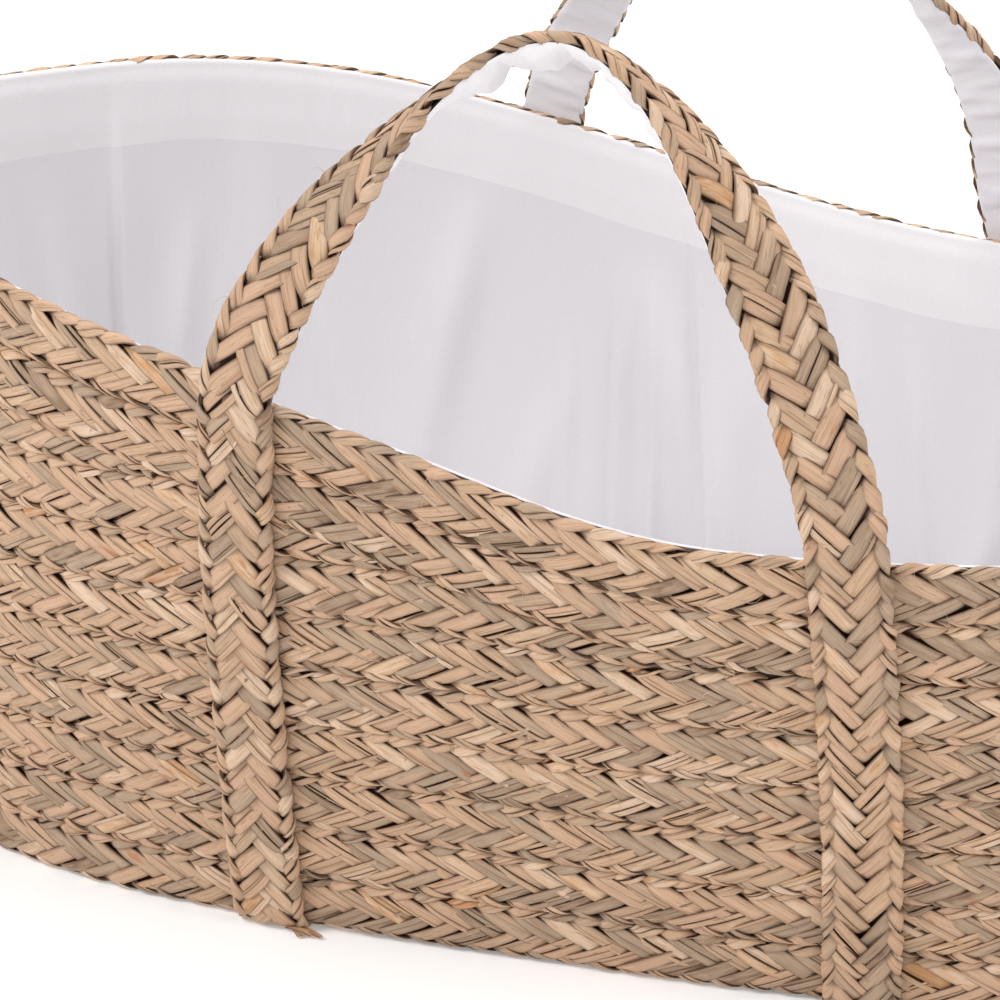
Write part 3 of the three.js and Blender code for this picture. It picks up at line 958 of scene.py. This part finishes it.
def handle_braid(name, side):
    """The whole handle: one braid from the foot of the head strap, over the crown, to the other foot."""
    path = HandlePath(side)
    rng = np.random.default_rng(SEED + 80 + side)
    blocks = braid_blocks(HANDLE_BRAID, path.total, rng, False, HANDLE_FIBRE_SPACING)
    points, values, faces = joined(blocks)
    along, across, height = points.T
    sway = waves(rng, path.total, HANDLE_SWAY)
    from_end = np.minimum(along, path.total - along)
    curl = np.clip(FOOT_CURL_LENGTH - from_end, 0, None) ** 2 / (2 * FOOT_CURL_LENGTH)
    pillow = PILLOW * (across / HANDLE_BRAID.half) ** 2
    placed = path.place(along, across + sway(along), height - pillow - curl)
    ends = [cut_ends(path, end, rng) for end in ("head", "foot")]
    points, values, faces = joined([(placed, values, faces), *ends])
    points[:, 2] = np.maximum(points[:, 2], LOWEST_HANDLE_POINT)
    obj = strand_object(f"{name}_handle_braid", points, faces, values, HANDLE_STRAW)
    straps = [f"{name}_{end}_{part}" for end in ("head", "foot") for part in ("strap", "flex")]
    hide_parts(f"{name}_loop", *straps)
    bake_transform(obj)
    return path


CLOTH_SHARPNESS = math.radians(75)


def cloth_grid(name, front, back, weave, look, closed):
    """A thin closed cloth from two grids of points, front and back, with its weave coordinates."""
    rows, columns = front.shape[:2]
    loops = np.concatenate([front, back[:, ::-1]], 1)
    values = np.concatenate([weave, weave[:, ::-1]], 1)
    values = np.concatenate([values, np.ones_like(values[..., :1])], -1)
    faces = tube_faces(1, rows, 2 * columns, closed)
    obj = mesh_object(name, loops[None], faces, "weave", values[None])
    obj.data.set_sharp_from_angle(angle=CLOTH_SHARPNESS)
    obj.data.materials.append(look)
    return obj


# Where the loop's lining hangs free between stitches: from and to as shares of the loop, and depth.
LOOP_SWAGS = (
    (0.335, 0.4, 6.0 * MM),
    (0.4, 0.47, 6.0 * MM),
    (0.47, 0.505, 3.5 * MM),
    (0.51, 0.565, 4.5 * MM),
    (0.565, 0.615, 2.6 * MM),
)
# Its puckers between the stitches: depth in millimetres, pitch and lean.
LOOP_PUCKERS = ((0.8, 0.029, 0.8), (0.7, 0.0165, -1.1), (0.4, 0.0093, 1.7))
LOOP_SLACK = 0.5 * MM
LOOP_LINING_HALF = 0.0166
LOOP_LINING_OVERLAP = 0.009
LOOP_LINING_STEPS, LOOP_LINING_ROWS = 320, 17
LOOP_CLOTH_THICKNESS = 0.6 * MM
SEAM_GAP = 0.3 * MM


def braid_underside(across):
    """Height of the handle braid's underside at places across it, round to its edges."""
    over = np.clip(np.abs(across) - (HANDLE_BRAID.half - EDGE_RADIUS), 0, EDGE_RADIUS)
    return -EDGE_RADIUS - np.sqrt(EDGE_RADIUS**2 - over**2)


def handle_lining(name, side, path):
    """The cotton strip under the loop: sewn at both edges, puckered, and slack at the crown."""
    rng = np.random.default_rng(SEED + 100 + side)
    start, end = path.loop_start, path.loop_end
    stations = np.linspace(start - LOOP_LINING_OVERLAP, end + LOOP_LINING_OVERLAP, LOOP_LINING_STEPS)
    offsets = np.sin(np.linspace(-0.5, 0.5, LOOP_LINING_ROWS) * math.pi)
    distance, offset = np.meshgrid(stations, offsets, indexing="ij")
    share = (distance - start) / (end - start)
    across = offset * LOOP_LINING_HALF
    sag = LOOP_SLACK
    for size, pitch, lean in LOOP_PUCKERS:
        phase = rng.uniform(0, 6)
        sag = sag + size * MM * np.sin(distance * 2 * math.pi / pitch + phase + offset * lean)
    for first, last, depth in LOOP_SWAGS:
        sag = sag + depth * np.sin(np.clip((share - first) / (last - first), 0, 1) * math.pi) ** 0.8
    sewn = (1 - offset**8) * smoothstep(np.minimum(share, 1 - share), -0.02, 0.05)
    depth = braid_underside(across) - SEAM_GAP - np.maximum(sag, 0) * sewn

    def sheet_at(extra):
        flat = (distance.ravel(), across.ravel(), (depth - extra).ravel())
        return path.place(*flat).reshape(*distance.shape, 3)

    weave = np.stack([across, distance, 0 * distance], -1)
    sheets = sheet_at(LOOP_CLOTH_THICKNESS), sheet_at(0)
    obj = cloth_grid(f"{name}_loop_lining_cloth", *sheets, weave, LIT_HEM_COTTON, False)
    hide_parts(f"{name}_loop_lining")
    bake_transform(obj)


for place_name, side in (("front", -1), ("back", 1)):
    handle = handle_braid(place_name, side)
    handle_lining(place_name, side, handle)

# ---- Lining ----

LINING_INSET = 0.0078
CLOTH_THICKNESS = 0.8 * MM
LINING_TURNS = 900
LINING_ROWS = 44
LINING_BELOW_RIM = 0.5 * MM
LINING_BOTTOM = 0.0082
FLOOR_RINGS, FLOOR_STATIONS = 22, 200
FLOOR_CLOTH_HEIGHT, FLOOR_WAVE = 8.0 * MM, 0.25 * MM
FLOOR_WAVES_ALONG, FLOOR_WAVES_ACROSS = 60, 83
FLOOR_EDGE_GAP, FLOOR_EDGE_HEIGHT = 0.3 * MM, 0.009
HEM_ROWS = 22
HEM_THICKNESS = 0.9 * MM
RIM_FADE = 8 * MM  # the folds start this far below the rim
EDGE_WAVE, HEM_WAVE = 0.2 * MM, 0.9 * MM
BILLOW, BILLOW_WAVE, RIPPLE_WAVE = 2.2 * MM, 2.4 * MM, 1.2 * MM

# The wall lining's small folds, at random places. Depths are in millimetres, tops in shares of the wall.
FOLD_COUNT = 46
FOLD_WIDTHS, FOLD_DEPTHS, FOLD_TOPS = (0.004, 0.016), (1.5, 5.5), (0.6, 0.98)
FOLD_LEAN = 0.04
TUCKED_SHARE = 0.3
TUCK_HALF = 1.5 * MM
FOLD_FADE = 0.35  # of the wall's height, below a fold's top

# Main folds: place round the wall in degrees, width, depth, lean, top and whether one side is sharp.
MAIN_FOLDS = (
    (144, 0.013, 6.5 * MM, 0.005, 1.0, True),
    (151, 0.012, 6.5 * MM, 0.02, 0.85, False),
    (115, 0.014, 7.5 * MM, -0.065, 0.9, False),
    (105, 0.007, 4.0 * MM, 0.0, 0.8, False),
    (101.5, 0.008, 5.0 * MM, 0.0, 0.85, True),
    (94.5, 0.007, 4.8 * MM, 0.03, 0.95, True),
    (82, 0.008, 4.5 * MM, 0.03, 0.9, False),
    (77, 0.006, 3.8 * MM, 0.04, 0.8, False),
)


def lining_inset(below):
    """How far inside the wall the cloth lies, at a distance below the rim that it wraps over."""
    level = EDGE_RADIUS - np.clip(below, 0, EDGE_RADIUS)
    wrapped = EDGE_RADIUS + np.sqrt(EDGE_RADIUS**2 - level**2) + SEAM_GAP
    hanging = LINING_INSET - 2 * EDGE_RADIUS - SEAM_GAP
    return wrapped + hanging * smoothstep(below, EDGE_RADIUS, 4 * EDGE_RADIUS)


def crease_field(rng, total, main):
    """Upright folds: depth at a distance round the wall and a share of its height."""
    folds = list(main)
    for _ in range(FOLD_COUNT):
        width, depth = rng.uniform(*FOLD_WIDTHS), rng.uniform(*FOLD_DEPTHS) * MM
        place, lean = rng.uniform(0, total), rng.normal(0, FOLD_LEAN)
        folds.append((place, width, depth, lean, rng.uniform(*FOLD_TOPS), rng.uniform() < TUCKED_SHARE))
    billow, ripple = waves(rng, total, BILLOW_WAVE), waves(rng, total, RIPPLE_WAVE)

    def depth(distance, share):
        sunk = 0 * distance
        for place, width, size, lean, top, tucked in folds:
            away = (distance - place - lean * (share - 0.5) + total / 2) % total - total / 2
            shape = np.exp(-((away / width) ** 2))
            if tucked:
                shape = shape * (1 - smoothstep(away, -TUCK_HALF, TUCK_HALF))
            sunk = sunk + size * shape * (1 - smoothstep(share, top - FOLD_FADE, top))
        sag = np.sin(np.clip(share, 0, 1) * math.pi)
        return sunk + (BILLOW + billow(distance)) * sag + ripple(distance) * smoothstep(share, 1.02, 0.7)

    return depth


def lining():
    """The wall lining and its doubled hem, hung from the rim with their folds."""
    rng = np.random.default_rng(SEED + 120)
    turns, lengths = round_wall(lambda turn: rim_height(turn) / 2)
    total = lengths[-1]
    main = [(np.interp(math.radians(fold[0]), turns, lengths), *fold[1:]) for fold in MAIN_FOLDS]
    depth = crease_field(rng, total, main)
    stations = np.linspace(0, total, LINING_TURNS, endpoint=False)
    turn = np.interp(stations, lengths, turns)[:, None]
    edge_wave, hem_wave = waves(rng, total, EDGE_WAVE), waves(rng, total, HEM_WAVE)
    rim = rim_height(turn)
    top = rim - LINING_BELOW_RIM + edge_wave(stations)[:, None]

    def surface(height, inset):
        share = (height - LINING_BOTTOM) / (rim - LINING_BOTTOM)
        folds = np.maximum(depth(stations[:, None], share), 0) * smoothstep(rim - height, 0, RIM_FADE)
        inward = lining_inset(rim - height) + inset + folds
        return wall_point(turn, height) - wall_normal(turn, height) * inward[..., None]

    def band(name, low, rows, inset, thickness, look):
        height = low + (top - low) * np.sin(np.linspace(0, math.pi / 2, rows))[None]
        weave = np.stack(np.broadcast_arrays(stations[:, None], height, 0.0), -1)
        inside, outside = surface(height, inset + thickness), surface(height, inset)
        return cloth_grid(name, outside, inside, weave, look, True)

    wall = band("lining_wall_cloth", LINING_BOTTOM, LINING_ROWS, 0, CLOTH_THICKNESS, LINING_COTTON)
    thickness = HEM_THICKNESS * smoothstep(np.linspace(0, 1, HEM_ROWS), -0.02, 0.2)[None]
    hem_low = rim - HEM_DEPTH + hem_wave(stations)[:, None]
    hem = band("lining_hem_cloth", hem_low, HEM_ROWS, CLOTH_THICKNESS, thickness, LIT_HEM_COTTON)
    stand_in(wall, "basket", "lining_wall")
    stand_in(hem, "basket", "lining_hem")


def lining_floor():
    """The lining's floor: a flat sheet with slight waves, out to the wall lining."""
    turn = np.linspace(0, 2 * math.pi, FLOOR_STATIONS, endpoint=False)
    edge = wall_point(turn, FLOOR_EDGE_HEIGHT + 0 * turn, LINING_INSET + FLOOR_EDGE_GAP)
    flat = edge[None] * np.linspace(0, 1, FLOOR_RINGS)[1:, None, None]
    ridges = np.sin(flat[..., 0] * FLOOR_WAVES_ALONG) * np.sin(flat[..., 1] * FLOOR_WAVES_ACROSS)
    flat[..., 2] = FLOOR_CLOTH_HEIGHT + FLOOR_WAVE * ridges
    centre = np.array([0, 0, FLOOR_CLOTH_HEIGHT])
    top = np.concatenate([[centre], (flat + [0, 0, CLOTH_THICKNESS]).reshape(-1, 3)])
    bottom = np.concatenate([[centre - [0, 0, 0.2 * MM]], flat.reshape(-1, 3)])
    index = np.arange(len(top) - 1).reshape(-1, FLOOR_STATIONS) + 1
    ahead = np.roll(index, -1, 1)
    fan = np.stack([np.zeros(FLOOR_STATIONS, int), index[0], ahead[0]], -1)
    quads = np.stack([index[:-1], index[1:], ahead[1:], ahead[:-1]], -1).reshape(-1, 4)
    below = len(top)
    rim = np.stack([index[-1], index[-1] + below, ahead[-1] + below, ahead[-1]], -1)
    faces = [fan, quads, fan[:, ::-1] + below, quads[:, ::-1] + below, rim]
    points = np.concatenate([top, bottom])
    values = np.concatenate([points, np.ones((len(points), 1))], 1)
    obj = mesh_object("lining_floor_cloth", points, faces, "weave", values)
    obj.data.materials.append(LINING_COTTON)
    stand_in(obj, "basket", "lining_floor")


lining()
lining_floor()

# ---- Mattress ----

MATTRESS_LOW = 0.0100
MATTRESS_TOP = 0.0445
CUSHION_STATIONS, CUSHION_INSET, CUSHION_ROUNDING = 160, 4 * MM, 5 * MM
CUSHION_VOXEL = 6 * MM
CUSHION_PRESSURE, CUSHION_QUALITY = 4, 5
CUSHION_FRAMES = 20
CUSHION_LIMIT = 6 * MM  # no point moves further while the cushion fills
PIPING_RADIUS = 0.0022
PIPING_STATIONS, PIPING_CORNERS = 420, 8
PIPING_TWIST, PIPING_TWIST_STEP = 0.08, 2.1
RAY_INSIDE, RAY_OUTSIDE = 40 * MM, -10 * MM
LINE_EASING = 3


def mattress_outline(z, inset, stations):
    turn = np.linspace(0, 2 * math.pi, stations, endpoint=False)
    outline = wall_point(turn, 0.01 + 0 * turn, MATTRESS_CLEARANCE + inset)
    outline[:, 2] = z
    return outline


def mattress_shell():
    """A closed slab with rounded edges, a little smaller than the finished mattress."""
    low, top, inset = MATTRESS_LOW + 2 * MM, MATTRESS_TOP - 5 * MM, CUSHION_INSET
    profile = (
        (low, inset + CUSHION_ROUNDING),
        (low + 4 * MM, inset),
        ((low + top) / 2, inset - 1 * MM),
        (top - 4 * MM, inset),
        (top, inset + CUSHION_ROUNDING),
    )
    rings = np.array([mattress_outline(z, ring_inset, CUSHION_STATIONS) for z, ring_inset in profile])
    return mesh_object("mattress_pad_cushion", rings[None], tube_faces(1, len(profile), CUSHION_STATIONS))


def inflate(obj):
    """Fills the cushion by cloth simulation."""
    remesh = obj.modifiers.new("Remesh", "REMESH")
    remesh.mode = "VOXEL"
    remesh.voxel_size = CUSHION_VOXEL
    graph = bpy.context.evaluated_depsgraph_get()
    mesh = bpy.data.meshes.new_from_object(obj.evaluated_get(graph))
    obj.modifiers.clear()
    obj.data = mesh
    start = np.array([vertex.co for vertex in mesh.vertices])
    cloth = obj.modifiers.new("Cloth", "CLOTH")
    cloth.settings.use_pressure = True
    cloth.settings.uniform_pressure_force = CUSHION_PRESSURE
    cloth.settings.effector_weights.gravity = 0
    cloth.settings.quality = CUSHION_QUALITY
    for step in range(1, CUSHION_FRAMES + 1):
        bpy.context.scene.frame_set(step)
    graph = bpy.context.evaluated_depsgraph_get()
    moved = np.array([vertex.co for vertex in obj.evaluated_get(graph).data.vertices])
    obj.modifiers.clear()
    bpy.context.scene.frame_set(1)
    change = moved - start
    size = np.linalg.norm(change, axis=1, keepdims=True)
    final = start + change * np.minimum(1, CUSHION_LIMIT / np.maximum(size, 1e-9))
    mesh.vertices.foreach_set("co", final.ravel())
    mesh.update()


def settle(obj):
    """Presses the cushion flat underneath, and gives it back the length and width it drew in."""
    mesh = obj.data
    points = np.array([vertex.co for vertex in mesh.vertices])
    outline = mattress_outline(MATTRESS_LOW, 1 * MM, 720)
    points[:, :2] *= (np.ptp(outline, 0) / np.ptp(points, 0))[:2]
    points[:, 2] = np.clip(points[:, 2], MATTRESS_LOW, MATTRESS_TOP)
    mesh.vertices.foreach_set("co", points.ravel())
    mesh.update()
    mesh.shade_smooth()
    subdivide = obj.modifiers.new("Smooth", "SUBSURF")
    subdivide.levels = 1
    subdivide.render_levels = 1


def cushion_line(cushion, z):
    """The line round the side of the cushion at a height, found from outside."""
    surface = BVHTree.FromObject(cushion, bpy.context.evaluated_depsgraph_get())
    inside = mattress_outline(z, RAY_INSIDE, PIPING_STATIONS)
    outside = mattress_outline(z, RAY_OUTSIDE, PIPING_STATIONS)
    rays = zip(outside, inside - outside)
    line = np.array([surface.ray_cast(Vector(start), Vector(way))[0] for start, way in rays])
    shifts = range(-LINE_EASING, LINE_EASING + 1)
    return sum(np.roll(line, shift, 0) for shift in shifts) / len(shifts)


def piping(name, cushion, z):
    """The corded seam round an edge of the mattress."""
    path = cushion_line(cushion, z)
    tangent = unit(np.roll(path, -1, 0) - np.roll(path, 1, 0))
    up = np.array([0, 0, 1.0])
    side = np.cross(tangent, up)
    angle = np.arange(PIPING_CORNERS) * 2 * math.pi / PIPING_CORNERS
    ring = side[:, None] * np.cos(angle)[None, :, None] + up * np.sin(angle)[None, :, None]
    wrap = 1 + PIPING_TWIST * np.sin(np.arange(PIPING_STATIONS) * PIPING_TWIST_STEP)[:, None, None]
    points = path[:, None] + PIPING_RADIUS * wrap * ring
    obj = mesh_object(name, points[None], tube_faces(1, PIPING_STATIONS, PIPING_CORNERS, True))
    obj.data.materials.append(MATTRESS_COTTON)
    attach(obj, "mattress")


mattress = mattress_shell()
inflate(mattress)
settle(mattress)
mattress.data.materials.append(MATTRESS_COTTON)
stand_in(mattress, "mattress", "mattress_pad")
piping("mattress_top_piping", mattress, MATTRESS_TOP - 6 * MM)
piping("mattress_bottom_piping", mattress, MATTRESS_LOW + 5 * MM)

# ---- Stage ----

FLOOR_HALF = 14.0
# Disk lights: name, place, what each points at, diameter and power.
LIGHTS = (
    ("key", (-1.6, -1.6, 2.5), (0, 0, 0.15), 1.2, 48),
    ("fill", (2.4, -0.4, 1.8), (0, 0, 0.15), 1.6, 22),
    ("top", (0.1, 0.9, 2.8), (0, 0, 0.1), 1.6, 38),
)
WORLD_STRENGTH = 0.55
CAMERA_PLACE = (0.3695, -1.5385, 0.7634)
CAMERA_DOWN, CAMERA_TURN = math.radians(20.933), math.radians(16.441)
CAMERA_SENSOR, CAMERA_LENS = 36.0, 121.63


def stage():
    corners = np.array([(-1, -1, 0), (1, -1, 0), (1, 1, 0), (-1, 1, 0)]) * FLOOR_HALF
    mesh = bpy.data.meshes.new("floor")
    mesh.from_pydata(corners.tolist(), [], [(0, 1, 2, 3)])
    floor = bpy.data.objects.new("floor", mesh)
    bpy.context.scene.collection.objects.link(floor)
    glow = {"Emission_Color": (0.92, 0.96, 1, 1), "Emission_Strength": 0.2}
    mesh.materials.append(Shader("floor").finish(Base_Color=(0.96, 0.96, 0.96, 1), Roughness=0.9, **glow))


def area_light(name, location, target, size, power):
    """A disk light at a place, pointed at a target."""
    light = bpy.data.lights.new(name, "AREA")
    light.shape = "DISK"
    light.size = size
    light.energy = power
    obj = bpy.data.objects.new(name, light)
    obj.location = location
    direction = np.array(target) - np.array(location)
    yaw = math.atan2(direction[1], direction[0]) - math.pi / 2
    pitch = math.atan2(direction[2], math.hypot(direction[0], direction[1])) + math.pi / 2
    obj.rotation_euler = (pitch, 0, yaw)
    bpy.context.scene.collection.objects.link(obj)


def world():
    studio = bpy.data.worlds.new("studio")
    studio.use_nodes = True
    background = studio.node_tree.nodes["Background"]
    background.inputs["Color"].default_value = (1, 1, 1, 1)
    background.inputs["Strength"].default_value = WORLD_STRENGTH
    bpy.context.scene.world = studio


def camera():
    data = bpy.data.cameras.new("camera")
    data.sensor_width = CAMERA_SENSOR
    data.lens = CAMERA_LENS
    obj = bpy.data.objects.new("camera", data)
    obj.location = CAMERA_PLACE
    obj.rotation_euler = (math.pi / 2 - CAMERA_DOWN, 0, CAMERA_TURN)
    bpy.context.scene.collection.objects.link(obj)
    bpy.context.scene.camera = obj


stage()
world()
for light in LIGHTS:
    area_light(*light)
camera()
bpy.context.scene.view_settings.view_transform = "Standard"
